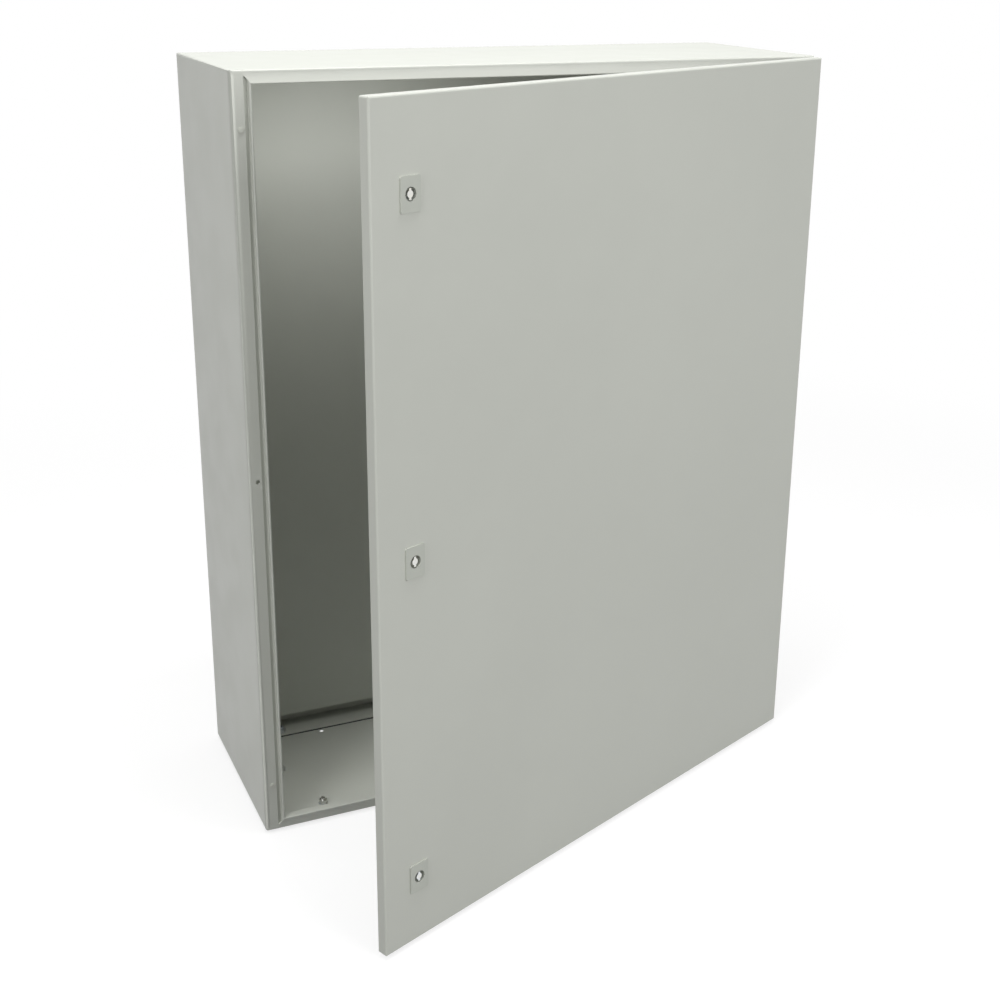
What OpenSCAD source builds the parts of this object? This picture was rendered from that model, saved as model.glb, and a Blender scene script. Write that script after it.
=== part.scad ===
// Steel wall enclosure: a welded sheet body with a lipped front rim, and one
// door on three hidden hinges that closes with three quarter-turn locks.
// Millimetres. The front faces -Y, X runs to the right and Z runs up. The
// origin is the centre of the four wall-fixing holes, on the rear face.

/* [Body] */
// Width of the body
body_w = 800; // [640:10:1000]
// Height of the body
body_h = 1000; // [900:10:1200]
// Depth of the body without the door
body_d = 282; // [220:2:400]
// Thickness of the body sheet
body_t = 1.5; // [1.2:0.1:2]
// Outer radius of the bend from a panel into the front rim
rim_bend_r = 6.5; // [5:0.5:6.5]
// Outer radius of the body's other bends
edge_r = 3; // [2.5:0.5:5]
// Width of the flange at the rear, turned in from each panel
rear_flange = 15; // [12:1:20]

/* [Front rim] */
// Flat part of the rim at the left and right, from the bend to the gutter
side_flat = 10.5; // [10.5:0.5:14]
// Flat part of the rim at the top and bottom
end_flat = 1; // [1:0.5:4]
// Run of the slope down into the gutter
gutter_run = 3; // [2.5:0.5:4]
// Depth of the gutter behind the rim's face
gutter_d = 8; // [6:0.5:10]
// Width of the gutter's floor
gutter_w = 2.7; // [2.5:0.1:5]
// How far the sealing lip stands out in front of the rim's face
lip_h = 6; // [4:0.5:7]

/* [Rear wall] */
// Distance of the wall-fixing holes from the body's edges
wall_hole_in = 25; // [24:1:45]
// Radius of a wall-fixing hole
wall_hole_r = 4.5; // [3.5:0.5:6]
// Distance of the mounting-plate studs from the body's sides
plate_stud_in_x = 55; // [50:1:80]
// Distance of the mounting-plate studs from the body's top and bottom
plate_stud_in_z = 70; // [62:1:110]
// Height of a mounting-plate stud's shoulder above the rear wall
plate_shoulder = 20; // [15:1:30]
// Length of a mounting-plate stud's thread beyond its shoulder
plate_thread = 18; // [14:1:22]

/* [Gland plate] */
// Width of the cut-out in the floor
gland_w = 660; // [400:10:700]
// Distance from the rim's face to the front edge of the cut-out
gland_front = 45; // [35:1:60]
// Distance from the rear face to the rear edge of the cut-out
gland_back = 44; // [38:1:50]
// How far the gland plate laps over the floor all round the cut-out
gland_lap = 20; // [18:1:24]
// Thickness of the gland plate
gland_t = 1.5; // [1.2:0.1:3]
// Thickness of the gland plate's flat seal
gland_seal_t = 2; // [1.5:0.5:3]
// Number of clamping studs along each long edge of the gland plate
gland_stud_n = 4; // [3:1:6]
// Distance of the outer clamping studs from the ends of the cut-out
gland_stud_in = 20; // [15:1:40]
// Radius of the drain hole in the gland plate
drain_r = 3.5; // [2:0.5:5]
// Distance of the drain hole from the middle, along the width
drain_x = 252; // [100:1:260]

/* [Door] */
// Angle at which the door stands open
open_angle = 22; // [0:1:90]
// Thickness of the door sheet
door_t = 1.5; // [1.2:0.1:2]
// Depth of the door pan
door_depth = 13.5; // [12.5:0.5:13.5]
// Gap between the door's edge and the rim's face when closed
door_gap = 2.5; // [2.5:0.5:4]
// How far the door stays inside the body at the left and right
door_inset_x = 1; // [0.5:0.5:1.5]
// How far the door stays inside the body at the top and bottom
door_inset_z = 1.5; // [0.5:0.5:3]
// Outer radius of the door's bends
door_bend_r = 2.5; // [2.2:0.1:3]
// Width of the foamed door seal
seal_w = 12; // [8:0.5:12]
// Gap between the closed door's seal and the lip
seal_clear = 0.3; // [0.2:0.1:0.6]

/* [Door rails] */
// Distance from the door's edge to the near side of a stiffening rail
rail_in = 80; // [76:1:110]
// Width of a rail's foot
rail_w = 22; // [20:1:28]
// Height of a rail above the door's inner face
rail_h = 16; // [12:1:20]
// Thickness of the rail's sheet
rail_t = 1.5; // [1.2:0.1:2]
// Distance from the end of a rail to the door's top or bottom edge
rail_end = 42; // [36:1:80]
// Spacing of the holes along a rail
rail_pitch = 25; // [20:1:40]

/* [Hinges] */
// Distance of the hinge axis from the door's edge
pivot_in = 5.5; // [5.5:0.1:6]
// Distance of the hinge axis behind the door's front face
pivot_back = 6.5; // [6:0.1:6.5]
// Radius of a hinge knuckle
knuckle_r = 4; // [3.8:0.1:4]
// Radius of a hinge pin
pin_r = 2.5; // [2:0.1:2.5]
// Running clearance round a hinge pin in the door leaf
pin_clear = 0.06; // [0.02:0.01:0.08]
// Clearance round a hinge pin in the body leaf, which holds it
pin_hold = 0.01; // [0.01:0.01:0.02]
// Height of the body leaf's knuckle
knuckle_h = 17; // [14:1:20]
// Height of each of the door leaf's two knuckles
door_knuckle_h = 12; // [10:1:14]
// Gap between knuckles
knuckle_gap = 0.5; // [0.3:0.1:1]
// Distance from the body's end to the outer hinges' centres
hinge_end = 68; // [60:1:90]

/* [Locks] */
// Distance of the locks from the door's free edge
lock_in = 53; // [50:1:56]
// Height of the lowest lock above the body's underside
lock_low = 88; // [85:1:130]
// Depth of the highest lock below the body's top
lock_high = 102; // [85:1:130]
// Width of a lock's face plate
lock_face_w = 27.5; // [26:0.5:32]
// Height of a lock's face plate
lock_face_h = 38; // [34:0.5:44]
// How far the face plate stands proud of the door
lock_face_t = 2; // [1.5:0.5:3]
// Radius of the lock's threaded barrel
barrel_r = 10; // [9.5:0.5:11]
// Radius of the key recess
recess_r = 7.6; // [7:0.2:8]
// Depth of the key recess behind the face plate's front
recess_d = 10; // [8:0.5:11]
// Length of the barrel behind the door's front face
barrel_l = 18; // [16:0.5:18]
// Length of the cam from the spindle's axis to its tip
cam_l = 42; // [40:1:44]
// Width of the cam
cam_w = 14; // [12:1:16]
// Thickness of the cam
cam_t = 3; // [2.5:0.5:4]
// Turn of the locks from open, with the cams down, towards shut
lock_turn = 0; // [0:1:90]

/* [Hidden] */
$fn = 48;

paint = [0.71, 0.72, 0.68];
zinc = [0.75, 0.76, 0.78];
steel = [0.60, 0.61, 0.63];
foam = [0.20, 0.20, 0.21];

eps = 0.01;
seat_clear = 0.3;      // between parts that move past each other
fit_clear = 0.05;      // round a shank in its threaded or plain hole
over = 20;             // how far a cutter runs past what it cuts

// Planes and edges
rim_y = -body_d;                              // the rim's face
door_y = rim_y - door_gap - door_depth;       // the closed door's front face
door_back_y = rim_y - door_gap;               // the closed door's edges
skin_y = door_y + door_t;                     // the door skin's inner face
door_left = -body_w / 2 + door_inset_x;
door_right = body_w / 2 - door_inset_x;
door_h = body_h - 2 * door_inset_z;
lip_t = 2 * body_t;                           // the lip is the sheet folded back on itself
lip_y = rim_y - lip_h;                        // the lip's front edge
side_slope = rim_bend_r + side_flat;          // where the gutter starts, from the body's side
end_slope = rim_bend_r + end_flat;            // and from its top or bottom
lip_reach = gutter_run + gutter_w + lip_t;    // from there to the lip's inner face
floor_z = -body_h / 2 + body_t;               // upper face of the floor
panel_y = -body_t;                            // inner face of the rear panel's middle

// Hinge axis and heights
pivot_x = door_right - pivot_in;
pivot_y = door_y + pivot_back;
hinge_z = [-body_h / 2 + hinge_end, 0, body_h / 2 - hinge_end];
stack_h = knuckle_h + 2 * (knuckle_gap + door_knuckle_h);   // all three knuckles
leaf_end = 11;                                // length of the door leaf's foot past its knuckles
door_leaf_h = stack_h + 2 * leaf_end;
leaf_t = 3;                                   // thickness of the door leaf's foot
leaf_reach = 16.6;                            // from the door's edge to the foot's far side
hinge_stud_end = 5;                           // from the foot's end to its stud
hinge_stud_off = door_leaf_h / 2 - hinge_stud_end;
hinge_stud_x = door_right - 11.2;
hinge_screw_in = rim_bend_r + 5.2;            // from the body's side to the hinge screw

// Locks
lock_x = door_left + lock_in;
lock_ends = [-body_h / 2 + lock_low, body_h / 2 - lock_high];
lock_z = [lock_ends[0], (lock_ends[0] + lock_ends[1]) / 2, lock_ends[1]];
cam_seat = barrel_l + 1;                      // the spindle's shoulder, behind the door's front
cam_tip = door_gap + door_depth + gutter_d + body_t + seat_clear;

// Threads
m4_r = 2;
m5_r = 2.5;
m6_r = 3;
m8_r = 4;

// ---------- general shapes ----------

// A rounded rectangle from true circles, centred
module round_rect(w, h, r) {
    square([w - 2 * r, h], center = true);
    square([w, h - 2 * r], center = true);
    for (sx = [-1, 1], sy = [-1, 1])
        translate([sx * (w / 2 - r), sy * (h / 2 - r)])
            circle(r = r);
}

// The same with other radii at its low-y edge, from y = -d to y = 0
module front_round_rect(w, d, r_front, r_back) {
    for (s = [-1, 1]) {
        translate([s * (w / 2 - r_front), -d + r_front]) circle(r = r_front);
        translate([s * (w / 2 - r_back), -r_back]) circle(r = r_back);
    }
    translate([-w / 2, -d + r_front]) square([w, d - r_front - r_back]);
    translate([-w / 2 + r_front, -d]) square([w - 2 * r_front, r_front + eps]);
    translate([-w / 2 + r_back, -r_back - eps]) square([w - 2 * r_back, r_back + eps]);
}

// A block from y = -d to y = 0 with rounded edges on all sides
module soft_block(w, h, d, r_edge, r_front, r_back) {
    intersection() {
        rotate([90, 0, 0]) linear_extrude(d) round_rect(w, h, r_edge);
        translate([0, 0, -h / 2]) linear_extrude(h) front_round_rect(w, d, r_front, r_back);
        rotate([0, 90, 0]) translate([0, 0, -w / 2])
            linear_extrude(w) front_round_rect(h, d, r_front, r_back);
    }
}

// A cylinder along Y, from y0 to y1
module y_cyl(r, y0, y1, fn = 48) {
    translate([0, y1, 0]) rotate([90, 0, 0]) cylinder(r = r, h = y1 - y0, $fn = fn);
}

// A block from its low corner to its high corner
module span(a, b) {
    translate(a) cube(b - a);
}

// Points of the arc that rounds corner b of the path a, b, c
function unit(v) = v / norm(v);
function corner_arc(a, b, c, r, n = 5) =
    let (p = unit(a - b), q = unit(c - b), half = acos(p * q) / 2,
         mid = b + unit(p + q) * r / sin(half),
         s = b + p * r / tan(half) - mid, e = b + q * r / tan(half) - mid,
         a0 = atan2(s[1], s[0]), sweep = atan2(s[0] * e[1] - s[1] * e[0], s * e))
    [for (i = [0:n]) mid + r * [cos(a0 + sweep * i / n), sin(a0 + sweep * i / n)]];

// A closed outline from points [x, y, corner radius]
function rounded(pts) =
    let (m = len(pts), xy = [for (p = pts) [p[0], p[1]]])
    [for (i = [0:m - 1])
        each (pts[i][2] > 0
            ? corner_arc(xy[(i + m - 1) % m], xy[i], xy[(i + 1) % m], pts[i][2])
            : [xy[i]])];

// A rectangular ring of one profile with mitred corners. The profile's points are
// [distance behind y = 0, distance inwards from the ring's outer rectangle].
module mitred_ring(w, h, depth, front, back, profile) {
    for (k = [0:3])
        let (l = k % 2 == 0 ? w : h, other = k % 2 == 0 ? h : w)
            rotate([0, 90 * k, 0]) translate([0, 0, -other / 2]) intersection() {
                rotate([90, 0, 90]) linear_extrude(l, center = true) polygon(profile);
                rotate([90, 0, 0]) translate([0, 0, -back]) linear_extrude(front + back)
                    polygon([[-l / 2, 0], [l / 2, 0], [l / 2 - depth, depth], [-l / 2 + depth, depth]]);
            }
}

module hex_nut(af, r, h) {
    // along Y, from y = 0 towards -Y
    difference() {
        y_cyl(af / sqrt(3), -h, 0, 6);
        y_cyl(r + fit_clear, -h - 1, 1);
    }
}

module washer(r_out, r, h) {
    difference() {
        y_cyl(r_out, -h, 0);
        y_cyl(r + fit_clear, -h - 1, 1);
    }
}

// What is drawn on the closed door, swung to where the door stands
module on_door() {
    translate([pivot_x, pivot_y, 0]) rotate([0, 0, open_angle])
        translate([-pivot_x, -pivot_y, 0]) children();
}

// A lock's place on the closed door: z points out of the door's front face
module at_lock(i) {
    on_door() translate([lock_x, door_y, lock_z[i]]) rotate([90, 0, 0]) children();
}

// ---------- body ----------

// The gutter and the sealing lip, as one folded section. It starts one lap outside
// the slope, on the rim's flat.
lap = 1;
gutter_back = body_t * tan(atan2(gutter_d, gutter_run) / 2);
gutter_profile = rounded([
    [0, 0, 0], [0, lap, 1.2],
    [gutter_d, lap + gutter_run, 1], [gutter_d, lap + gutter_run + gutter_w, 0.8],
    [-lip_h, lap + gutter_run + gutter_w, body_t * 0.98], [-lip_h, lap + lip_reach, body_t * 0.98],
    [gutter_d + body_t, lap + lip_reach, 1.5],
    [gutter_d + body_t, lap + gutter_run - gutter_back, 2],
    [body_t, lap - gutter_back, 0.01], [body_t, -gutter_back, 0]]);

module rim_holes() {
    // the hinge screws' holes, at both sides, so that the door can be hung either way
    for (s = [-1, 1], z = hinge_z)
        translate([s * (body_w / 2 - hinge_screw_in), 0, z])
            y_cyl(m5_r + 0.25, rim_y - 1, rim_y + body_t + 1);
}

module gland_cutout() {
    span([-gland_w / 2, rim_y + gland_front, -body_h / 2 - over],
         [gland_w / 2, -gland_back, floor_z + 1]);
}

// The clamping studs' places round the cut-out
gland_mid_y = (rim_y + gland_front - gland_back) / 2;
gland_len_y = -gland_back - rim_y - gland_front;
gland_spots = concat(
    [for (i = [0:gland_stud_n - 1], s = [-1, 1])
        [(i / (gland_stud_n - 1) - 0.5) * (gland_w - 2 * gland_stud_in),
         gland_mid_y + s * (gland_len_y / 2 + gland_lap / 2)]],
    [for (s = [-1, 1]) [s * (gland_w / 2 + gland_lap / 2), gland_mid_y]]);

module body_shell() color(paint) {
    difference() {
        union() {
            difference() {
                soft_block(body_w, body_h, body_d, edge_r, rim_bend_r, edge_r);
                translate([0, -body_t, 0])
                    soft_block(body_w - 2 * body_t, body_h - 2 * body_t, body_d - 2 * body_t,
                        edge_r - body_t, rim_bend_r - body_t, edge_r - body_t);
                // the opening inside the rim
                span([-body_w / 2 + side_slope, rim_y - over, -body_h / 2 + end_slope],
                     [body_w / 2 - side_slope, rim_y + 2 * body_t, body_h / 2 - end_slope]);
                // the opening inside the rear flange
                span([-body_w / 2 + rear_flange, -2 * body_t, -body_h / 2 + rear_flange],
                     [body_w / 2 - rear_flange, over, body_h / 2 - rear_flange]);
            }
            translate([0, rim_y, 0])
                mitred_ring(body_w - 2 * (side_slope - lap), body_h - 2 * (end_slope - lap),
                    lap + lip_reach + 1, lip_h + 1, gutter_d + body_t + 1, gutter_profile);
        }
        rim_holes();
        gland_cutout();
        for (p = gland_spots)
            translate([p[0], p[1], -body_h / 2 - 1]) cylinder(r = m6_r + 0.4, h = body_t + 2);
    }
}

// The rear panel laps inside the flange and its middle is pressed back flush with it
panel_lap = 2;
panel_gap = 0.5;
module rear_panel() color(paint) {
    w = body_w - 2 * (edge_r + seat_clear);
    h = body_h - 2 * (edge_r + seat_clear);
    inner = rear_flange + panel_gap;
    difference() {
        union() {
            translate([0, panel_y, 0]) rotate([90, 0, 0]) linear_extrude(body_t)
                round_rect(w, h, edge_r);
            rotate([90, 0, 0]) linear_extrude(body_t + eps)
                round_rect(body_w - 2 * inner, body_h - 2 * inner, edge_r);
        }
        // the dished middle
        translate([0, -body_t, 0]) rotate([90, 0, 0]) linear_extrude(over)
            round_rect(body_w - 2 * (inner + panel_lap), body_h - 2 * (inner + panel_lap), edge_r);
        for (sx = [-1, 1], sz = [-1, 1])
            translate([sx * (body_w / 2 - wall_hole_in), 0, sz * (body_h / 2 - wall_hole_in)])
                y_cyl(wall_hole_r, -over, over);
    }
}

plate_shoulder_r = 8;
module plate_studs() color(zinc)
    for (sx = [-1, 1], sz = [-1, 1])
        translate([sx * (body_w / 2 - plate_stud_in_x), panel_y, sz * (body_h / 2 - plate_stud_in_z)]) {
            y_cyl(plate_shoulder_r, -plate_shoulder, 0);
            y_cyl(m8_r, -plate_shoulder - plate_thread, -plate_shoulder + 1);
        }

// The free side's outer screw holes are closed with push-in plugs
module rim_plugs() color(paint) {
    for (z = [hinge_z[0], hinge_z[2]])
        translate([-body_w / 2 + hinge_screw_in, rim_y, z]) difference() {
            union() {
                y_cyl(3.6, -0.8, 0);
                y_cyl(2.6, -1.4, -0.7);
                y_cyl(m5_r + 0.2, -0.1, body_t + 3);
            }
            y_cyl(1.4, 0.2, over);
        }
}

// ---------- gland plate ----------

gland_top = -body_h / 2;                      // underside of the floor
module gland_outline(w, d, r) {
    translate([0, gland_mid_y]) round_rect(w, d, r);
}

module gland_plate() color(paint)
    translate([0, 0, gland_top - gland_seal_t]) difference() {
        translate([0, 0, -gland_t]) linear_extrude(gland_t)
            gland_outline(gland_w + 2 * gland_lap, gland_len_y + 2 * gland_lap, 6);
        translate([-drain_x, -gland_back - drain_r - 1.5, -over])
            cylinder(r = drain_r, h = 2 * over);
    }

// The studs are welded to the plate and pass up through the seal and the floor
flange_nut_t = 6;
flange_nut_r = 6.5;
module gland_plate_studs() color(zinc)
    for (p = gland_spots)
        translate([p[0], p[1], gland_top - gland_seal_t])
            cylinder(r = m6_r, h = gland_seal_t + body_t + flange_nut_t + 3);

module gland_seal() color(foam) {
    translate([0, 0, gland_top - gland_seal_t]) difference() {
        linear_extrude(gland_seal_t) difference() {
            gland_outline(gland_w + 2 * gland_lap, gland_len_y + 2 * gland_lap, 6);
            gland_outline(gland_w, gland_len_y, 1);
        }
        for (p = gland_spots)
            translate([p[0], p[1], -1]) cylinder(r = m6_r + 0.2, h = gland_seal_t + 2);
    }
}

module gland_nuts() color(zinc) {
    for (p = gland_spots)
        translate([p[0], p[1], floor_z]) difference() {
            union() {
                cylinder(r = flange_nut_r, h = 1);
                cylinder(r = m6_nut_af / sqrt(3), h = flange_nut_t, $fn = 6);
            }
            translate([0, 0, -1]) cylinder(r = m6_r + fit_clear, h = flange_nut_t + 2);
        }
}

// ---------- earthing studs ----------

body_earth_in = 90;                           // from the body's right side and its underside
earth_stud_l = 22;
earth_washer_r = 8;
earth_washer_t = 1.6;
m8_nut_af = 13;
m8_nut_t = 6.5;
module earth_nuts() {
    // from y = 0 towards -Y: washer, nut, washer, nut
    for (k = [0, 1])
        translate([0, -k * (earth_washer_t + m8_nut_t + 2 * fit_clear), 0]) {
            washer(earth_washer_r, m8_r, earth_washer_t);
            translate([0, -earth_washer_t - fit_clear, 0]) hex_nut(m8_nut_af, m8_r, m8_nut_t);
        }
}

module at_body_earth() {
    translate([body_w / 2 - body_earth_in, panel_y, -body_h / 2 + body_earth_in]) children();
}

module body_earth_stud() color(zinc) at_body_earth() y_cyl(m8_r, -earth_stud_l, 0);
module body_earth_nuts() color(zinc) at_body_earth() earth_nuts();

// ---------- hinges ----------

boss_d = 7;                                   // depth of the screw boss on the body leaf
foot_d = 3;                                   // thickness of its foot
foot_end = 5.5;                               // length of its foot past the boss, at each end
foot_x = [body_w / 2 - side_slope + 0.5, pivot_x - 0.5];   // the foot's sides
web_x = [-3.5, 1];                            // the web's sides, from the hinge axis
screw_l = boss_d - 1.5;                       // the hinge screw's length inside the boss

module hinge_body_leaf(i) color(zinc)
    translate([0, 0, hinge_z[i]]) difference() {
        union() {
            translate([pivot_x, pivot_y, -knuckle_h / 2]) cylinder(r = knuckle_r, h = knuckle_h);
            span([pivot_x + web_x[0], pivot_y, -knuckle_h / 2],
                 [pivot_x + web_x[1], rim_y - foot_d + eps, knuckle_h / 2]);
            span([foot_x[0], rim_y - boss_d, -knuckle_h / 2], [foot_x[1], rim_y, knuckle_h / 2]);
            span([foot_x[0], rim_y - foot_d, -knuckle_h / 2 - foot_end],
                 [foot_x[1], rim_y, knuckle_h / 2 + foot_end]);
        }
        translate([pivot_x, pivot_y, -over]) cylinder(r = pin_r + pin_hold, h = 2 * over);
        translate([body_w / 2 - hinge_screw_in, 0, 0])
            y_cyl(m5_r + fit_clear, rim_y - boss_d + 1, rim_y + 1);
    }

screw_head_r = 4.25;
screw_head_t = 3.5;
screw_key = 4;                                // across the flats of its hexagon socket
module hinge_screws() color(zinc)
    for (z = hinge_z)
        translate([body_w / 2 - hinge_screw_in, rim_y + body_t, z]) difference() {
            union() {
                y_cyl(m5_r, -body_t - screw_l, eps);
                y_cyl(screw_head_r, 0, screw_head_t);
            }
            y_cyl(screw_key / sqrt(3), screw_head_t - 2.3, over, 6);
        }

pin_head_r = pin_r + 0.9;
pin_head_t = 1.2;
module hinge_pin(i) color(steel)
    translate([pivot_x, pivot_y, hinge_z[i] - stack_h / 2 - 0.5]) {
        cylinder(r = pin_r, h = stack_h + 1);
        translate([0, 0, stack_h + 1]) cylinder(r = pin_head_r, h = pin_head_t);
    }

module hinge_door_leaf(i) color(zinc)
    on_door() translate([0, 0, hinge_z[i]]) difference() {
        union() {
            for (s = [-1, 1])
                translate([pivot_x, pivot_y,
                    s * (knuckle_h / 2 + knuckle_gap + door_knuckle_h / 2) - door_knuckle_h / 2])
                    cylinder(r = knuckle_r, h = door_knuckle_h);
            span([door_right - leaf_reach, skin_y, -door_leaf_h / 2],
                 [door_right - door_bend_r - 0.1, skin_y + leaf_t, door_leaf_h / 2]);
        }
        // room for the pin's head
        translate([pivot_x, pivot_y, stack_h / 2])
            cylinder(r = pin_head_r + 0.4, h = pin_head_t + 1.5);
        // room for the body leaf's knuckle
        span([pivot_x - knuckle_r - 0.5, skin_y - 1, -knuckle_h / 2 - knuckle_gap],
             [door_right + 1, skin_y + leaf_t + 1, knuckle_h / 2 + knuckle_gap]);
        translate([pivot_x, pivot_y, -over * 2])
            cylinder(r = pin_r + pin_clear, h = 4 * over);
        for (s = [-1, 1])
            translate([hinge_stud_x, 0, s * hinge_stud_off])
                y_cyl(m5_r + 0.2, skin_y - 1, skin_y + leaf_t + 1);
    }

m5_nut_af = 8;
m5_nut_t = 4;
module hinge_nuts() color(zinc)
    on_door() for (z = hinge_z, s = [-1, 1])
        translate([hinge_stud_x, skin_y + leaf_t, z + s * hinge_stud_off])
            rotate([0, 0, 180]) hex_nut(m5_nut_af, m5_r, m5_nut_t);

// ---------- door ----------

module lock_hole(clear) {
    // a round barrel with two flats, so that the lock cannot turn in the door
    intersection() {
        circle(r = barrel_r + clear);
        square([2 * (barrel_r - 1 + clear), 3 * barrel_r], center = true);
    }
}

module door_panel() color(paint) on_door() difference() {
    translate([0, door_back_y + over, 0]) difference() {
        soft_block(door_right - door_left, door_h, door_depth + over,
            door_bend_r, door_bend_r, door_bend_r);
        translate([0, 1, 0]) soft_block(door_right - door_left - 2 * door_t, door_h - 2 * door_t,
            door_depth + over + 1 - door_t,
            door_bend_r - door_t, door_bend_r - door_t, door_bend_r - door_t);
        span([-body_w, -over, -body_h], [body_w, 2 * over, body_h]);
    }
    for (i = [0:2])
        translate([lock_x, door_y + door_t + 1, lock_z[i]]) rotate([90, 0, 0])
            linear_extrude(door_t + 2) lock_hole(0.2);
    // notches in the edge for the hinges
    for (z = hinge_z)
        span([door_right - door_t - 0.4, skin_y, z - door_leaf_h / 2 - 1],
             [door_right + 1, door_back_y + 1, z + door_leaf_h / 2 + 1]);
}

// The seal is a foamed bead with a rounded back, centred on the lip
seal_h = lip_y - seal_clear - skin_y;
seal_profile = rounded([[0, 0, 0], [0, seal_w, 0],
    [seal_h, seal_w, min(seal_w / 2 - 0.1, seal_h - 0.5)],
    [seal_h, 0, min(seal_w / 2 - 0.1, seal_h - 0.5)]]);
module door_seal() color(foam) on_door() translate([0, skin_y, 0])
    mitred_ring(body_w - 2 * (side_slope + lip_reach - lip_t / 2 - seal_w / 2),
        body_h - 2 * (end_slope + lip_reach - lip_t / 2 - seal_w / 2),
        seal_w + 1, 1, seal_h + 1, seal_profile);

// A perforated angle rail: foot on the door, upright at the far side, turned-in top
rail_len = door_h - 2 * rail_end;
rail_studs = [-0.44, 0, 0.44];
module door_rail(s) {
    x0 = s < 0 ? door_left + rail_in : door_right - rail_in;
    holes = floor(rail_len / rail_pitch) - 1;
    on_door() translate([x0, skin_y, 0]) mirror([s < 0 ? 0 : 1, 0, 0]) difference() {
        translate([0, 0, -rail_len / 2]) linear_extrude(rail_len) {
            square([rail_w, rail_t]);
            translate([rail_w - rail_t, 0]) square([rail_t, rail_h]);
            translate([rail_w - rail_t, rail_h - rail_t]) square([8, rail_t]);
        }
        for (k = [0:holes - 1])
            translate([0, 0, (k - (holes - 1) / 2) * rail_pitch]) {
                // slots in the upright and round holes between them
                if (k % 2 == 0)
                    span([rail_w - rail_t - 1, rail_h / 2 - 2.5, -6],
                         [rail_w + 1, rail_h / 2 + 3.5, 6]);
                else
                    translate([rail_w - rail_t - 1, rail_h / 2 + 0.5, 0]) rotate([0, 90, 0])
                        cylinder(r = 2.5, h = rail_t + 2);
            }
        for (f = rail_studs)
            translate([rail_w / 2 - 1, 0, f * rail_len]) y_cyl(m6_r + 0.3, -1, rail_t + 1);
    }
}

module door_rail_free() color(zinc) door_rail(-1);
module door_rail_hinge() color(zinc) door_rail(1);

module at_rail_studs() {
    for (s = [-1, 1], f = rail_studs)
        translate([s < 0 ? door_left + rail_in + rail_w / 2 - 1
                         : door_right - rail_in - rail_w / 2 + 1, skin_y, f * rail_len])
            children();
}

door_earth_x = door_right - rail_in - rail_w - 22;   // clear of the rail's turned-in top
door_earth_z = 60;                            // above its lower edge
module at_door_earth() {
    translate([door_earth_x, skin_y, -door_h / 2 + door_earth_z]) children();
}

rail_washer_t = 1.2;
m6_nut_af = 10;
m6_nut_t = 5;
thread_out = 1;                               // how far a stud stands out of its nut
module door_studs() color(zinc) on_door() {
    at_rail_studs() y_cyl(m6_r, 0, rail_t + rail_washer_t + m6_nut_t + thread_out);
    at_door_earth() y_cyl(m8_r, 0, earth_stud_l);
    for (z = hinge_z, s = [-1, 1])
        translate([hinge_stud_x, skin_y, z + s * hinge_stud_off])
            y_cyl(m5_r, 0, leaf_t + m5_nut_t + thread_out);
}

module rail_nuts() color(zinc) on_door() at_rail_studs()
    translate([0, rail_t, 0]) rotate([0, 0, 180]) {
        washer(m6_nut_af * 0.62, m6_r, rail_washer_t);
        translate([0, -rail_washer_t, 0]) hex_nut(m6_nut_af, m6_r, m6_nut_t);
    }

module door_earth_nuts() color(zinc) on_door() at_door_earth()
    rotate([0, 0, 180]) earth_nuts();

// ---------- locks ----------

// Along the lock's axis, z = 0 is the door's front face and -z runs inwards
journal_r = 5.5;
drive = 7;                                    // side of the spindle's square end
lock_seal_t = 1;
lock_nut_t = 5;

module lock_housing(i) color(paint) at_lock(i) difference() {
    union() {
        linear_extrude(lock_face_t) round_rect(lock_face_w, lock_face_h, 2.5);
        translate([0, 0, -barrel_l]) linear_extrude(barrel_l + eps) lock_hole(0);
    }
    translate([0, 0, lock_face_t - recess_d]) cylinder(r = recess_r, h = over);
    translate([0, 0, -barrel_l - 1]) cylinder(r = journal_r + fit_clear, h = barrel_l);
}

module lock_seal(i) color(foam) at_lock(i)
    translate([0, 0, -door_t - lock_seal_t]) linear_extrude(lock_seal_t) difference() {
        circle(r = barrel_r + 4);
        circle(r = barrel_r + 0.1);
    }

module lock_nut(i) color(zinc) at_lock(i)
    translate([0, 0, -door_t - lock_seal_t - lock_nut_t]) difference() {
        cylinder(r = 27 / sqrt(3), h = lock_nut_t, $fn = 6);
        translate([0, 0, -1]) cylinder(r = barrel_r + fit_clear, h = lock_nut_t + 2);
    }

module turned(i) {
    at_lock(i) rotate([0, 0, 180 - lock_turn]) children();
}

module lock_insert(i) color(steel) turned(i) {
    bottom = lock_face_t - recess_d;          // floor of the recess
    difference() {
        union() {
            translate([0, 0, bottom]) cylinder(r = recess_r - seat_clear, h = 1.5);
            // the key form: a round core with two bits
            translate([0, 0, bottom + 1]) cylinder(r = 4, h = recess_d - 2);
            translate([-1.5, -6, bottom + 1]) cube([3, 12, recess_d - 2]);
            translate([0, 0, -cam_seat]) cylinder(r = journal_r, h = cam_seat + bottom + 1);
            translate([-drive / 2, -drive / 2, -cam_seat - cam_t + 0.2])
                cube([drive, drive, cam_t + 1]);
        }
        translate([0, 0, -cam_seat - cam_t - 1]) cylinder(r = m4_r + fit_clear, h = 12);
    }
}

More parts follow.
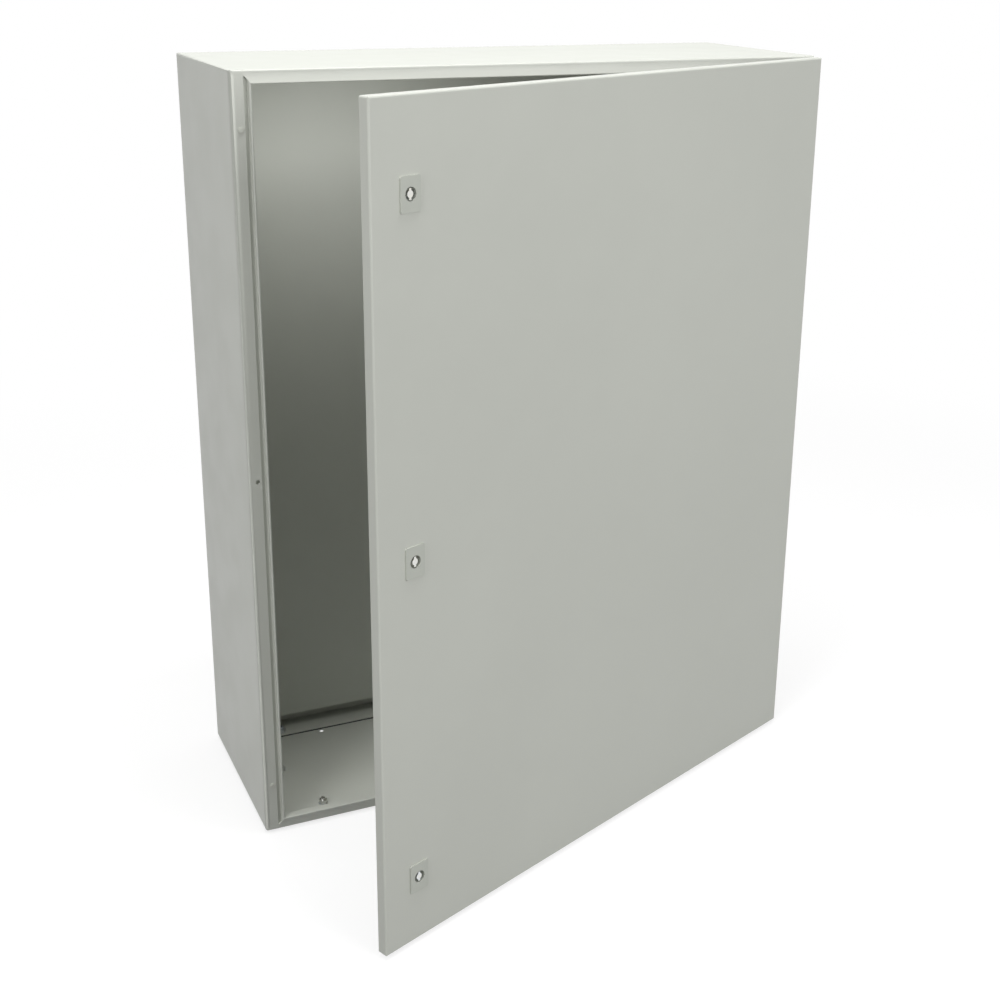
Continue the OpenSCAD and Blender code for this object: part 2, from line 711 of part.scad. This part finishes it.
// The cam is cranked back to reach behind the gutter
crank_a = 12;                                 // where the crank starts, from the axis
crank_b = 24;                                 // and where it ends
module lock_cam(i) color(zinc) turned(i) {
    hub = cam_w / 2 + 2;
    difference() {
        intersection() {
            translate([0, 0, -cam_tip - over]) linear_extrude(cam_tip + over) {
                circle(r = hub);
                translate([-cam_w / 2, 0]) square([cam_w, cam_l - 3]);
                translate([-cam_w / 2 + 3, 0]) square([cam_w - 6, cam_l]);
                for (sx = [-1, 1])
                    translate([sx * (cam_w / 2 - 3), cam_l - 3]) circle(r = 3);
            }
            rotate([90, 0, 90]) linear_extrude(4 * hub, center = true) polygon([
                [-hub - 1, -cam_seat], [crank_a, -cam_seat], [crank_b, -cam_tip],
                [cam_l + 1, -cam_tip], [cam_l + 1, -cam_tip - cam_t],
                [crank_b - cam_t * 0.3, -cam_tip - cam_t], [crank_a - cam_t * 0.3, -cam_seat - cam_t],
                [-hub - 1, -cam_seat - cam_t]]);
        }
        translate([-drive / 2 - fit_clear, -drive / 2 - fit_clear, -cam_seat - cam_t - 1])
            cube([drive + 2 * fit_clear, drive + 2 * fit_clear, cam_t + 2]);
    }
}

module lock_cam_screw(i) color(zinc) turned(i)
    translate([0, 0, -cam_seat - cam_t]) difference() {
        union() {
            translate([0, 0, -1]) cylinder(r = 6, h = 1);
            translate([0, 0, -3.6]) cylinder(r = 3.5, h = 2.8);
            translate([0, 0, -0.1]) cylinder(r = m4_r, h = 9);
        }
        translate([0, 0, -4.6]) cylinder(r = 1.5, h = 2.6, $fn = 6);
    }

body_shell();
rear_panel();
plate_studs();
rim_plugs();
gland_plate();
gland_plate_studs();
gland_seal();
gland_nuts();
body_earth_stud();
body_earth_nuts();
hinge_body_leaf(0);  // hinge_body_leaf_low
hinge_body_leaf(1);  // hinge_body_leaf_mid
hinge_body_leaf(2);  // hinge_body_leaf_top
hinge_screws();
hinge_pin(0);  // hinge_pin_low
hinge_pin(1);  // hinge_pin_mid
hinge_pin(2);  // hinge_pin_top
door_panel();
door_seal();
door_rail_free();
door_rail_hinge();
door_studs();
rail_nuts();
door_earth_nuts();
hinge_door_leaf(0);  // hinge_door_leaf_low
hinge_door_leaf(1);  // hinge_door_leaf_mid
hinge_door_leaf(2);  // hinge_door_leaf_top
hinge_nuts();
lock_housing(0);  // lock_housing_low
lock_housing(1);  // lock_housing_mid
lock_housing(2);  // lock_housing_top
lock_seal(0);  // lock_seal_low
lock_seal(1);  // lock_seal_mid
lock_seal(2);  // lock_seal_top
lock_nut(0);  // lock_nut_low
lock_nut(1);  // lock_nut_mid
lock_nut(2);  // lock_nut_top
lock_insert(0);  // lock_insert_low
lock_insert(1);  // lock_insert_mid
lock_insert(2);  // lock_insert_top
lock_cam(0);  // lock_cam_low
lock_cam(1);  // lock_cam_mid
lock_cam(2);  // lock_cam_top
lock_cam_screw(0);  // lock_cam_screw_low
lock_cam_screw(1);  // lock_cam_screw_mid
lock_cam_screw(2);  // lock_cam_screw_top
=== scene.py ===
import math

import bpy
from mathutils import Matrix, Vector


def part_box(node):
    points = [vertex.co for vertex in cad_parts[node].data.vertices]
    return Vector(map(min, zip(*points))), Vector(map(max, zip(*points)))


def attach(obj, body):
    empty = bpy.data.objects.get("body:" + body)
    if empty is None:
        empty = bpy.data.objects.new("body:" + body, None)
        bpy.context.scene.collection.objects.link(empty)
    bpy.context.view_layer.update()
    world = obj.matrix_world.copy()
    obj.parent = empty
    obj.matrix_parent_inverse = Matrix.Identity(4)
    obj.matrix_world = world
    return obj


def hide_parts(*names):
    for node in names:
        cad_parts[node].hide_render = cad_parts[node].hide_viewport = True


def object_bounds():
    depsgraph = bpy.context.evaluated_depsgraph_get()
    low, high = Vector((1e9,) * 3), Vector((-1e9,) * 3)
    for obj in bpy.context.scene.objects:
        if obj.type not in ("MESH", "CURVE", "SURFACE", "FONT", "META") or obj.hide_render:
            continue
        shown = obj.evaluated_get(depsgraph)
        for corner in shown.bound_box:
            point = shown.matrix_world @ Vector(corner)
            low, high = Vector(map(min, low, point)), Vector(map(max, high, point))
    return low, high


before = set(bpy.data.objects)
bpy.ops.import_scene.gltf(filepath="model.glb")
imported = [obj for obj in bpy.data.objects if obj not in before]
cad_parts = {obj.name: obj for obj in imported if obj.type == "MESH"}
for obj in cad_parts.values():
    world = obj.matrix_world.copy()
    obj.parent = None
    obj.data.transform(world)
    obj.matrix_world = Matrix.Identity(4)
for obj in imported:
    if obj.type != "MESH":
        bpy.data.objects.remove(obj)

cad_low, cad_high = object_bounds()     # the solids' box, before any piece is added

# ---------- The welded body ----------
# One sheet of 1.5 mm steel, folded into four panels and a lipped front rim, with
# the rear panel welded into it. It is powder-coated light grey inside and out, and
# the coat is a little thinner, and so a little darker, along the folded edges.

class Value:
    """One number, colour or vector inside a material, so that maths reads as maths."""

    def __init__(self, nodes, socket):
        self.nodes, self.socket = nodes, socket

    def maths(self, operation, *values):
        return self.nodes.node("ShaderNodeMath", {"operation": operation}, dict(enumerate(values)))[0]

    def __add__(self, other):
        return self.maths("ADD", self, other)

    def __radd__(self, other):
        return self.maths("ADD", other, self)

    def __sub__(self, other):
        return self.maths("SUBTRACT", self, other)

    def __rsub__(self, other):
        return self.maths("SUBTRACT", other, self)

    def __mul__(self, other):
        return self.maths("MULTIPLY", self, other)

    def __rmul__(self, other):
        return self.maths("MULTIPLY", other, self)

    def between(self, low, high):
        """0 below low and 1 above high, with a smooth rise from one to the other."""
        return self.nodes.node("ShaderNodeMapRange", {"interpolation_type": "SMOOTHSTEP", "clamp": True},
                               {"Value": self, "From Min": low, "From Max": high})["Result"]


class Made:
    """A node that is in place; its outputs are Values."""

    def __init__(self, nodes, made):
        self.nodes, self.made = nodes, made

    def __getitem__(self, name):
        return Value(self.nodes, self.made.outputs[name])


class Nodes:
    """The nodes of one material, or of the room round the object."""

    def __init__(self, tree):
        self.tree = tree

    def node(self, kind, settings=None, sockets=None):
        made = self.tree.nodes.new(kind)
        for name, value in (settings or {}).items():
            setattr(made, name, value)
        for name, value in (sockets or {}).items():
            self.set(made.inputs[name], value)
        return Made(self, made)

    def set(self, socket, value):
        if isinstance(value, Value):
            self.tree.links.new(value.socket, socket)
        elif isinstance(value, tuple) and len(value) == 3 and len(socket.default_value) == 4:
            socket.default_value = (*value, 1.0)
        else:
            socket.default_value = value


class Finish(Nodes):
    """A material in the making. Its shader's own sockets hold what is the same all over."""

    def __init__(self, name, colour, roughness, metallic=0.0):
        self.material = bpy.data.materials.new(name)
        self.material.use_nodes = True
        super().__init__(self.material.node_tree)
        self.shader = self.tree.nodes["Principled BSDF"]
        self.shows(Base_Color=colour, Roughness=roughness, Metallic=metallic, IOR=1.5)
        self.material.diffuse_color = (*colour, 1.0)
        self.place = self.node("ShaderNodeTexCoord")["Object"]

    def noise(self, per_metre, detail=2.0, roughness=0.5, seed=0.0):
        """A cloudy pattern round 0.5, with this many bumps to the metre."""
        moved = self.node("ShaderNodeVectorMath", {"operation": "ADD"},
                          {0: self.place, 1: (seed, seed * 0.7, -seed)})
        return self.node("ShaderNodeTexNoise", {"noise_dimensions": "3D"},
                         {"Vector": moved[0], "Scale": per_metre,
                          "Detail": detail, "Roughness": roughness})[0]

    def blend(self, mask, first, second):
        """The first colour where the mask is 0 and the second where it is 1."""
        return self.node("ShaderNodeMix", {"data_type": "RGBA"}, {0: mask, 6: first, 7: second})[2]

    def edges(self, radius):
        """About 1 along sharp edges within `radius` metres and 0 on the flat."""
        softened = self.node("ShaderNodeBevel", {"samples": 4}, {"Radius": radius})[0]
        flat = self.node("ShaderNodeNewGeometry")["Normal"]
        facing = self.node("ShaderNodeVectorMath", {"operation": "DOT_PRODUCT"},
                           {0: softened, 1: flat})["Value"]
        return (1 - facing).between(0.01, 0.28)

    def bumps(self, height, distance, strength):
        """A relief `distance` metres high where the height is 1."""
        return self.node("ShaderNodeBump", {},
                         {"Height": height, "Distance": distance, "Strength": strength})["Normal"]

    def shows(self, **values):
        """Gives the shader's sockets their values, the same all over or changing over the surface."""
        for name, value in values.items():
            self.set(self.shader.inputs[name.replace("_", " ")], value)

    def on(self, *names):
        """Gives this finish to CAD nodes."""
        for name in names:
            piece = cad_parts[name]
            piece.data.materials.clear()
            piece.data.materials.append(self.material)


def toned(colour, by):
    return tuple(part * by for part in colour)


def powder_coat(name, colour, roughness):
    """Baked polyester powder: a soft sheen, faint clouds, and an orange-peel skin."""
    edge_width, edge_wear, peel_height = 0.0007, 0.35, 0.00006
    coat = Finish(name, colour, roughness)
    clouds = coat.noise(3.2, 3.0, 0.55).between(0.3, 0.7)
    drift = coat.noise(22.0, 2.0, 0.5, seed=3.1).between(0.25, 0.75)
    skin = coat.blend(clouds * 0.75 + drift * 0.25, toned(colour, 0.982), toned(colour, 1.018))
    worn = coat.edges(edge_width) * coat.noise(160.0, 2.0, 0.6, seed=7.0).between(0.35, 0.7)
    peel = coat.noise(560.0, 1.0, 0.4, seed=1.7) + 0.35 * coat.noise(1500.0, 1.0, 0.5, seed=5.3)
    coat.shows(Base_Color=coat.blend(worn * edge_wear, skin, toned(colour, 0.86)),
               Roughness=roughness - 0.05 + 0.08 * drift + 0.05 * coat.noise(900.0, 1.0, 0.5, seed=2.2),
               Normal=coat.bumps(peel, peel_height, 0.35))
    return coat


body_grey = (0.560, 0.575, 0.525)
body_paint = powder_coat("powder_coat_grey", body_grey, 0.40)
body_paint.on("rear_panel")

# ---------- Front rim ----------
# The sheet's front edges are folded into the rim. At the sides it dips into a shallow
# gutter and comes forward as a hemmed lip, and at the top and bottom it sweeps out to
# the lip as a canopy that sheds water. The corners are welded and dressed.

shell_low, shell_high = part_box("body_shell")
half_w, half_h = shell_high.x, shell_high.z
shell_lip, stub = 0.006, 0.0012     # the solid's own lip, and what stays of it inside this one
rim_y = shell_low.y + shell_lip

# Depths count backwards from the rim's face, and insets inwards from the body's outside.
lip_height, rim_back = 0.003, 0.0066
lip_front = -lip_height
side_bend, end_bend, edge_bend = 0.0065, 0.0025, 0.003
gutter_start, gutter_floor, gutter_depth = 0.0163, 0.0209, 0.0034
start_front, start_back = 0.0004, 0.0020
floor_bend, root_bend, hem_bend, nose_bend = 0.0018, 0.0007, 0.0014, 0.0012
side_lip, side_reach, end_reach = 0.02265, 0.02575, 0.01625


def pick(*pieces):
    """Selects these pieces and no others, with the first one active."""
    bpy.ops.object.select_all(action="DESELECT")
    for piece in pieces:
        piece.select_set(True)
    bpy.context.view_layer.objects.active = pieces[0]


def edit(piece):
    pick(piece)
    bpy.ops.object.mode_set(mode="EDIT")
    bpy.ops.mesh.select_all(action="SELECT")


def arc(a, b, c, radius, steps=5):
    """Points of the arc that rounds corner b of the path a, b, c, all in one plane."""
    a, b, c = Vector(a), Vector(b), Vector(c)
    to_a, to_c = (a - b).normalized(), (c - b).normalized()
    half = to_a.angle(to_c) / 2
    middle = b + (to_a + to_c).normalized() * (radius / math.sin(half))
    back = radius / math.tan(half)
    first, last = b + to_a * back - middle, b + to_c * back - middle
    return [tuple(middle + first.normalized().slerp(last.normalized(), i / steps) * radius)
            for i in range(steps + 1)]


def rounded(points):
    """A closed outline from (u, v, corner radius)."""
    flat = [Vector((u, v)) for u, v, radius in points]
    outline = []
    for i, (u, v, radius) in enumerate(points):
        around = flat[i - 1], flat[i], flat[(i + 1) % len(flat)]
        outline += arc(*around, radius) if radius else [(u, v)]
    return outline


def drawn_out(name, face, along):
    """A solid from the points of one flat face, drawn out along a vector."""
    bpy.ops.object.select_all(action="DESELECT")
    bpy.ops.mesh.primitive_circle_add(vertices=len(face), fill_type="NGON", location=(0, 0, 0))
    piece = bpy.context.object
    piece.name = name
    for vertex, place in zip(piece.data.vertices, face):
        vertex.co = place
    edit(piece)
    bpy.ops.mesh.extrude_region_move(TRANSFORM_OT_translate={"value": along})
    bpy.ops.mesh.select_all(action="SELECT")
    bpy.ops.mesh.normals_make_consistent(inside=False)
    bpy.ops.object.mode_set(mode="OBJECT")
    return piece


def cut(piece, at, normal):
    """Cuts off what lies beyond a plane and closes the cut."""
    edit(piece)
    bpy.ops.mesh.bisect(plane_co=at, plane_no=normal, use_fill=True, clear_outer=True)
    bpy.ops.object.mode_set(mode="OBJECT")


def joined(name, pieces):
    pick(*pieces)
    bpy.ops.object.join()
    pieces[0].name = name
    return pieces[0]


def within(piece, other):
    """Keeps what two solids have in common."""
    shared = piece.modifiers.new("shared", "BOOLEAN")
    shared.operation, shared.solver, shared.object = "INTERSECT", "EXACT", other
    bpy.context.view_layer.objects.active = piece
    bpy.ops.object.modifier_apply(modifier=shared.name)
    bpy.data.objects.remove(other)
    return piece


same_place, smooth_below = 0.000001, math.radians(22)
panels = bpy.data.objects.new("panels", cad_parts["body_shell"].data.copy())
bpy.context.scene.collection.objects.link(panels)
edit(panels)
bpy.ops.mesh.remove_doubles(threshold=same_place)
bpy.ops.object.mode_set(mode="OBJECT")
cut(panels, (0, rim_y - stub, 0), (0, -1, 0))

mitre_start = 0.015
mitre_in, mitre_up = side_reach - mitre_start, end_reach - end_bend


def mitred(bar, side, end, keep):
    """Cuts a bar of the rim where it meets the next; keep is 1 for a gutter bar and -1 for a canopy."""
    cut(bar, (side * (half_w - mitre_start), rim_y, end * (half_h - end_bend)),
        (-keep * side * mitre_up, 0, keep * end * mitre_in))


gutter = rounded([(start_front, gutter_start, 0), (gutter_depth, gutter_floor, floor_bend),
                  (gutter_depth, side_lip, root_bend), (lip_front, side_lip, hem_bend),
                  (lip_front, side_reach, hem_bend), (rim_back, side_reach, 0),
                  (rim_back, gutter_floor - hem_bend, 0), (start_back, gutter_start, 0)])
rim_parts = []
for side in (-1, 1):
    face = [(side * (half_w - inset), rim_y + depth, -half_h) for depth, inset in gutter]
    bar = drawn_out("gutter_bar", face, (0, 0, 2 * half_h))
    for end in (-1, 1):
        mitred(bar, side, end, 1)
    rim_parts.append(bar)

lip_flat, canopy_steps = 0.0015, 8
sweep = end_reach - end_bend - lip_flat
canopy_radius = (sweep ** 2 + lip_height ** 2) / (2 * lip_height)
canopy_turn = math.asin(sweep / canopy_radius)
canopy = []
for step in range(canopy_steps + 1):
    turned = canopy_turn * step / canopy_steps
    canopy.append((canopy_radius * (math.cos(turned) - 1), end_bend + canopy_radius * math.sin(turned)))
canopy += arc((lip_front, end_bend + sweep), (lip_front, end_reach), (rim_back, end_reach), nose_bend)
canopy += [(rim_back, end_reach), (rim_back, end_bend)]

corner = [(side_bend, 0)] + arc((side_bend, 0), (0, 0), (0, side_bend), end_bend)
corner += [(0, side_bend), (side_bend, side_bend)]
inwards, spare = 0.02, 0.01         # how far the shapes that round the corner bars run past them
for end in (-1, 1):
    face = [(-half_w, rim_y + depth, end * (half_h - inset)) for depth, inset in canopy]
    bar = drawn_out("canopy_bar", face, (2 * half_w, 0, 0))
    for side in (-1, 1):
        mitred(bar, side, end, -1)
    face = [(-half_w, rim_y + depth, end * (half_h - inset)) for depth, inset in corner]
    across = drawn_out("corner_bar", face, (2 * half_w, 0, 0))
    from_above = rounded([(-half_w, rim_y, side_bend), (half_w, rim_y, side_bend),
                          (half_w, rim_y + inwards, 0), (-half_w, rim_y + inwards, 0)])
    face = [(x, y, end * (half_h - inwards)) for x, y in from_above]
    across = within(across, drawn_out("plan", face, (0, 0, end * (inwards + spare))))
    from_front = rounded([(-half_w, end * half_h, edge_bend), (half_w, end * half_h, edge_bend),
                          (half_w, end * (half_h - inwards), 0), (-half_w, end * (half_h - inwards), 0)])
    face = [(x, rim_y - spare, z) for x, z in from_front]
    across = within(across, drawn_out("front", face, (0, inwards + spare, 0)))
    rim_parts += [bar, across]

welded_body = joined("welded_body", [panels] + rim_parts)
bpy.ops.object.shade_smooth_by_angle(angle=smooth_below)
welded_body.data.materials.clear()
welded_body.data.materials.append(body_paint.material)
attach(welded_body, "cabinet")
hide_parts("body_shell")

# ---------- Rim plugs ----------
# The outer screw holes on the free side are closed with small push-in plugs, which
# come in the body's grey. They are moulded, so they have no orange peel.

plug_grey = (0.555, 0.568, 0.515)
plug_plastic = Finish("moulded_plug", plug_grey, 0.45)
speck_height = 0.00001
plug_plastic.shows(Normal=plug_plastic.bumps(plug_plastic.noise(1800.0), speck_height, 0.5),
                   Roughness=0.40 + 0.10 * plug_plastic.noise(400.0, 1.0, 0.5, seed=4.0))
plug_plastic.on("rim_plugs")

# ---------- Gland plate ----------
# A flat painted plate closes the cut-out in the floor from below, with a foam frame
# between. Studs welded to it pass through the floor, and flange nuts inside clamp it.

body_paint.on("gland_plate")


def foam(name, colour, cell):
    """Foamed polyurethane: a dull skin over fine cells, a few of them broken open."""
    cell_depth = 0.0002
    sponge = Finish(name, colour, 0.85)
    cells = sponge.node("ShaderNodeTexVoronoi", {"feature": "F1"},
                        {"Vector": sponge.place, "Scale": 1 / cell})["Distance"]
    swell = sponge.noise(45.0, 2.0, 0.5, seed=6.0)
    open_cells = (1 - cells).between(0.72, 0.95) * sponge.noise(220.0, 2.0, 0.6, seed=8.0).between(0.5, 0.75)
    sponge.shows(Base_Color=sponge.blend(open_cells, colour, toned(colour, 0.45)),
                 Roughness=0.78 + 0.16 * swell,
                 Normal=sponge.bumps(cells * 0.6 + swell, cell_depth, 0.6))
    return sponge


seal_foam = foam("seal_foam", (0.045, 0.045, 0.048), 0.0008)
seal_foam.on("gland_seal")


def zinc_plate(name, colour, roughness):
    """Bright zinc with a clear passivate: metallic, with faint blue and straw clouds."""
    edge_width, grain_height = 0.0003, 0.00002
    plate = Finish(name, colour, roughness, metallic=1.0)
    clouds = plate.noise(70.0, 3.0, 0.6, seed=2.0).between(0.3, 0.7)
    blue = (colour[0] * 0.93, colour[1] * 0.97, colour[2] * 1.02)
    straw = (colour[0] * 1.02, colour[1] * 0.99, colour[2] * 0.90)
    grain = plate.noise(2600.0, 2.0, 0.6, seed=5.0)
    rub = plate.edges(edge_width)
    plate.shows(Base_Color=plate.blend(clouds, blue, straw),
                Roughness=(roughness - 0.07 + 0.12 * grain + 0.06 * clouds) - 0.10 * rub,
                Normal=plate.bumps(grain, grain_height, 0.4))
    return plate


fastener_zinc = zinc_plate("zinc_plated_steel", (0.66, 0.67, 0.68), 0.34)
fastener_zinc.on("gland_plate_studs", "gland_nuts")

# ---------- Mounting plate ----------
# A flat 3 mm plate carries the equipment. It comes in the body's grey and rests on the
# shoulders of four zinc-plated studs that are projection-welded to the rear panel.

fastener_zinc.on("plate_studs", "body_earth_stud", "body_earth_nuts")

stud_low, stud_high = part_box("plate_studs")
shoulder, shoulder_radius = 0.020, 0.008
plate_side, plate_end, plate_thick = 0.027, 0.0225, 0.003
plate_corner, plate_edge, nut_edge = 0.004, 0.0004, 0.0005
plate_back = stud_high.y - shoulder
plate_face = plate_back - plate_thick


def bevelled(piece, width, wanted):
    """Breaks the edges whose two ends are as wanted."""
    edit(piece)
    bpy.ops.mesh.select_mode(type="EDGE")
    bpy.ops.mesh.select_all(action="DESELECT")
    bpy.ops.object.mode_set(mode="OBJECT")
    for edge in piece.data.edges:
        edge.select = wanted(*[piece.data.vertices[v].co for v in edge.vertices])
    bpy.ops.object.mode_set(mode="EDIT")
    bpy.ops.mesh.bevel(offset=width, segments=2, affect="EDGES")
    bpy.ops.object.mode_set(mode="OBJECT")


plate_outline = rounded([(x * (half_w - plate_side), z * (half_h - plate_end), plate_corner)
                         for x, z in ((-1, -1), (1, -1), (1, 1), (-1, 1))])
plate = drawn_out("mounting_plate", [(x, plate_face, z) for x, z in plate_outline], (0, plate_thick, 0))
bevelled(plate, plate_edge, lambda a, b: abs(a.y - b.y) < plate_thick / 2)
plate_paint = powder_coat("powder_coat_plate", body_grey, 0.42)
plate.data.materials.append(plate_paint.material)
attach(plate, "cabinet")

across_flats, nut_height, washer_radius, washer_height = 0.013, 0.0065, 0.008, 0.0016
washer = 32, washer_radius, washer_height, plate_face
nut = 6, across_flats / math.sqrt(3), nut_height, plate_face - washer_height
fasteners = []
for x in (stud_low.x + shoulder_radius, stud_high.x - shoulder_radius):
    for z in (stud_low.z + shoulder_radius, stud_high.z - shoulder_radius):
        for sides, radius, height, seat in (washer, nut):
            turns = [2 * math.pi * i / sides for i in range(sides)]
            ring = [(x + radius * math.cos(turn), seat, z + radius * math.sin(turn)) for turn in turns]
            part = drawn_out("fastener", ring, (0, -height, 0))
            bevelled(part, nut_edge, lambda a, b: max(a.y, b.y) < seat - height / 2)
            fasteners.append(part)
plate_nuts = joined("plate_nuts_and_washers", fasteners)
plate_nuts.data.materials.append(fastener_zinc.material)
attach(plate_nuts, "cabinet")

# ---------- Hinges ----------
# Each hinge is a die-cast leaf screwed behind the rim, a second leaf nutted inside
# the door, and a turned steel pin that joins them.

cast_zinc = zinc_plate("cast_hinge_leaf", (0.52, 0.525, 0.53), 0.46)
cast_zinc.on(*[f"hinge_{side}_leaf_{place}" for side in ("body", "door") for place in ("low", "mid", "top")])
pin_steel = zinc_plate("turned_pin", (0.60, 0.60, 0.61), 0.26)
pin_steel.on("hinge_pin_low", "hinge_pin_mid", "hinge_pin_top")
fastener_zinc.on("hinge_screws", "hinge_nuts")

# ---------- Door ----------
# A shallow pan of 1.5 mm sheet with all four edges folded back, in the body's grey.
# A foamed seal runs round its inside and meets the lip of the body.

door_paint = powder_coat("powder_coat_door", body_grey, 0.38)
door_paint.on("door_panel")
seal_foam.on("door_seal")

# ---------- Stiffening rails ----------
# Two perforated angles of galvanised sheet are nutted to weld studs inside the door.
# Hot-dip zinc sets in leaf-shaped crystals of slightly different brightness.

crystals_per_metre, crystal_height = 150.0, 0.00003
dull_leaf, bright_leaf = (0.50, 0.51, 0.525), (0.62, 0.63, 0.635)
rail_zinc = Finish("galvanised_sheet", (0.56, 0.57, 0.58), 0.42, metallic=1.0)
crystal = rail_zinc.node("ShaderNodeTexVoronoi", {"feature": "F1"},
                         {"Vector": rail_zinc.place, "Scale": crystals_per_metre})["Color"]
leaf = rail_zinc.node("ShaderNodeSeparateColor", {}, {0: crystal})[0]
rail_zinc.shows(Base_Color=rail_zinc.blend(leaf, dull_leaf, bright_leaf),
                Roughness=0.34 + 0.16 * leaf + 0.05 * rail_zinc.noise(300.0),
                Normal=rail_zinc.bumps(leaf * 0.4 + rail_zinc.noise(700.0), crystal_height, 0.4))
rail_zinc.on("door_rail_free", "door_rail_hinge")
fastener_zinc.on("rail_nuts", "door_studs", "door_earth_nuts")

# ---------- Locks ----------
# Each quarter-turn lock is a painted die-cast housing with a flat seal and a nut
# behind the door, and a zinc insert that turns a cranked cam.

lock_grey = (0.500, 0.520, 0.468)
lock_paint = powder_coat("powder_coat_lock", lock_grey, 0.36)
insert_zinc = zinc_plate("cast_insert", (0.70, 0.70, 0.69), 0.30)
for place in ("low", "mid", "top"):
    lock_paint.on(f"lock_housing_{place}")
    seal_foam.on(f"lock_seal_{place}")
    insert_zinc.on(f"lock_insert_{place}")
    fastener_zinc.on(f"lock_nut_{place}", f"lock_cam_{place}", f"lock_cam_screw_{place}")

# ---------- Floor, light and camera ----------
# The body stands on a plain white floor in a white room. Soft lamps light it from above,
# the front right, the left and behind, and a small one in the doorway lights the inside.

floor_size, floor_gap = 60.0, 0.0003
floor_bounce, floor_glow, floor_shade, room_level = 0.25, 0.75, 0.30, 0.25
contact_end, white_start = 0.9, 2.2
white = (1.0, 1.0, 1.0)


def seen_directly(nodes):
    """1 along rays from the camera or off a shiny surface, and 0 along light that bounces about."""
    rays = nodes.node("ShaderNodeLightPath")
    return rays["Is Camera Ray"].maths("MAXIMUM", rays["Is Camera Ray"], rays["Is Glossy Ray"])


bpy.ops.object.select_all(action="DESELECT")
bpy.ops.mesh.primitive_plane_add(size=floor_size, location=(0, 0, cad_low.z - floor_gap))
floor = bpy.context.object
floor.name = "studio_floor"

paper = Finish("studio_floor", (0.9, 0.9, 0.9), 0.9)
bounce = paper.node("ShaderNodeBsdfDiffuse", {}, {"Color": toned(white, floor_bounce)})[0]
shaded = paper.node("ShaderNodeBsdfDiffuse", {}, {"Color": toned(white, floor_shade)})[0]
glow = paper.node("ShaderNodeEmission", {}, {"Color": white, "Strength": floor_glow})[0]
near = paper.node("ShaderNodeAddShader", {}, {0: glow, 1: shaded})[0]
far = paper.node("ShaderNodeEmission", {}, {"Color": white, "Strength": 1.0})[0]
away = paper.node("ShaderNodeVectorMath", {"operation": "LENGTH"}, {0: paper.place})["Value"]
shown = paper.node("ShaderNodeMixShader", {}, {0: away.between(contact_end, white_start), 1: near, 2: far})[0]
both = paper.node("ShaderNodeMixShader", {}, {0: seen_directly(paper), 1: bounce, 2: shown})[0]
paper.set(paper.tree.nodes["Material Output"].inputs["Surface"], both)
floor.data.materials.append(paper.material)

world = bpy.data.worlds.new("studio")
bpy.context.scene.world = world
world.use_nodes = True
room = Nodes(world.node_tree)
level = room.node("ShaderNodeMapRange", {},
                  {"Value": seen_directly(room), "To Min": room_level, "To Max": 1.0})["Result"]
room.set(room.tree.nodes["Background"].inputs["Color"], white)
room.set(room.tree.nodes["Background"].inputs["Strength"], level)


def soft_lamp(name, place, target, width, height, watts):
    """A lamp that faces its target and isn't seen itself."""
    data = bpy.data.lights.new(name, "AREA")
    data.shape, data.size, data.size_y, data.energy = "RECTANGLE", width, height, watts
    lamp = bpy.data.objects.new(name, data)
    bpy.context.scene.collection.objects.link(lamp)
    lamp.location = place
    lamp.rotation_euler = (Vector(target) - Vector(place)).to_track_quat("-Z", "Y").to_euler()
    lamp.visible_camera = False


soft_lamp("overhead", (-0.1, 0.3, 2.6), (-0.1, 0.3, 0), 2.4, 1.4, 28.5)
soft_lamp("overhead_front", (-0.1, -0.7, 2.6), (-0.1, -0.6, 0), 1.6, 0.5, 34)
soft_lamp("front_right", (1.1, -3.0, 1.0), (0, -0.4, 0.1), 1.4, 1.3, 41)
soft_lamp("left", (-2.35, -1.85, 1.2), (-0.3, -0.2, 0.1), 1.2, 1.0, 30)
soft_lamp("back", (0, 3.4, -0.1), (0, 0, -0.1), 0.75, 0.8, 28)
soft_lamp("inside", (-0.2, -0.262, 0.365), (-0.2, 0, 0.365), 0.28, 0.2, 0.28)

camera = bpy.data.objects.new("camera", bpy.data.cameras.new("camera"))
bpy.context.scene.collection.objects.link(camera)
bpy.context.scene.camera = camera
standpoint, turn, dip, lean = (-0.8066, -1.9934, 0.6450), 24.525, 18.404, 0.669
camera.matrix_world = (Matrix.Translation(standpoint)
                       @ Matrix.Rotation(math.radians(-turn), 4, "Z")
                       @ Matrix.Rotation(math.radians(90 - dip), 4, "X")
                       @ Matrix.Rotation(math.radians(lean), 4, "Z"))
camera.data.sensor_width = 36.0
camera.data.lens = 53.422
camera.data.shift_x = -0.0238
camera.data.shift_y = -0.0674
bpy.context.scene.view_settings.view_transform = "Standard"
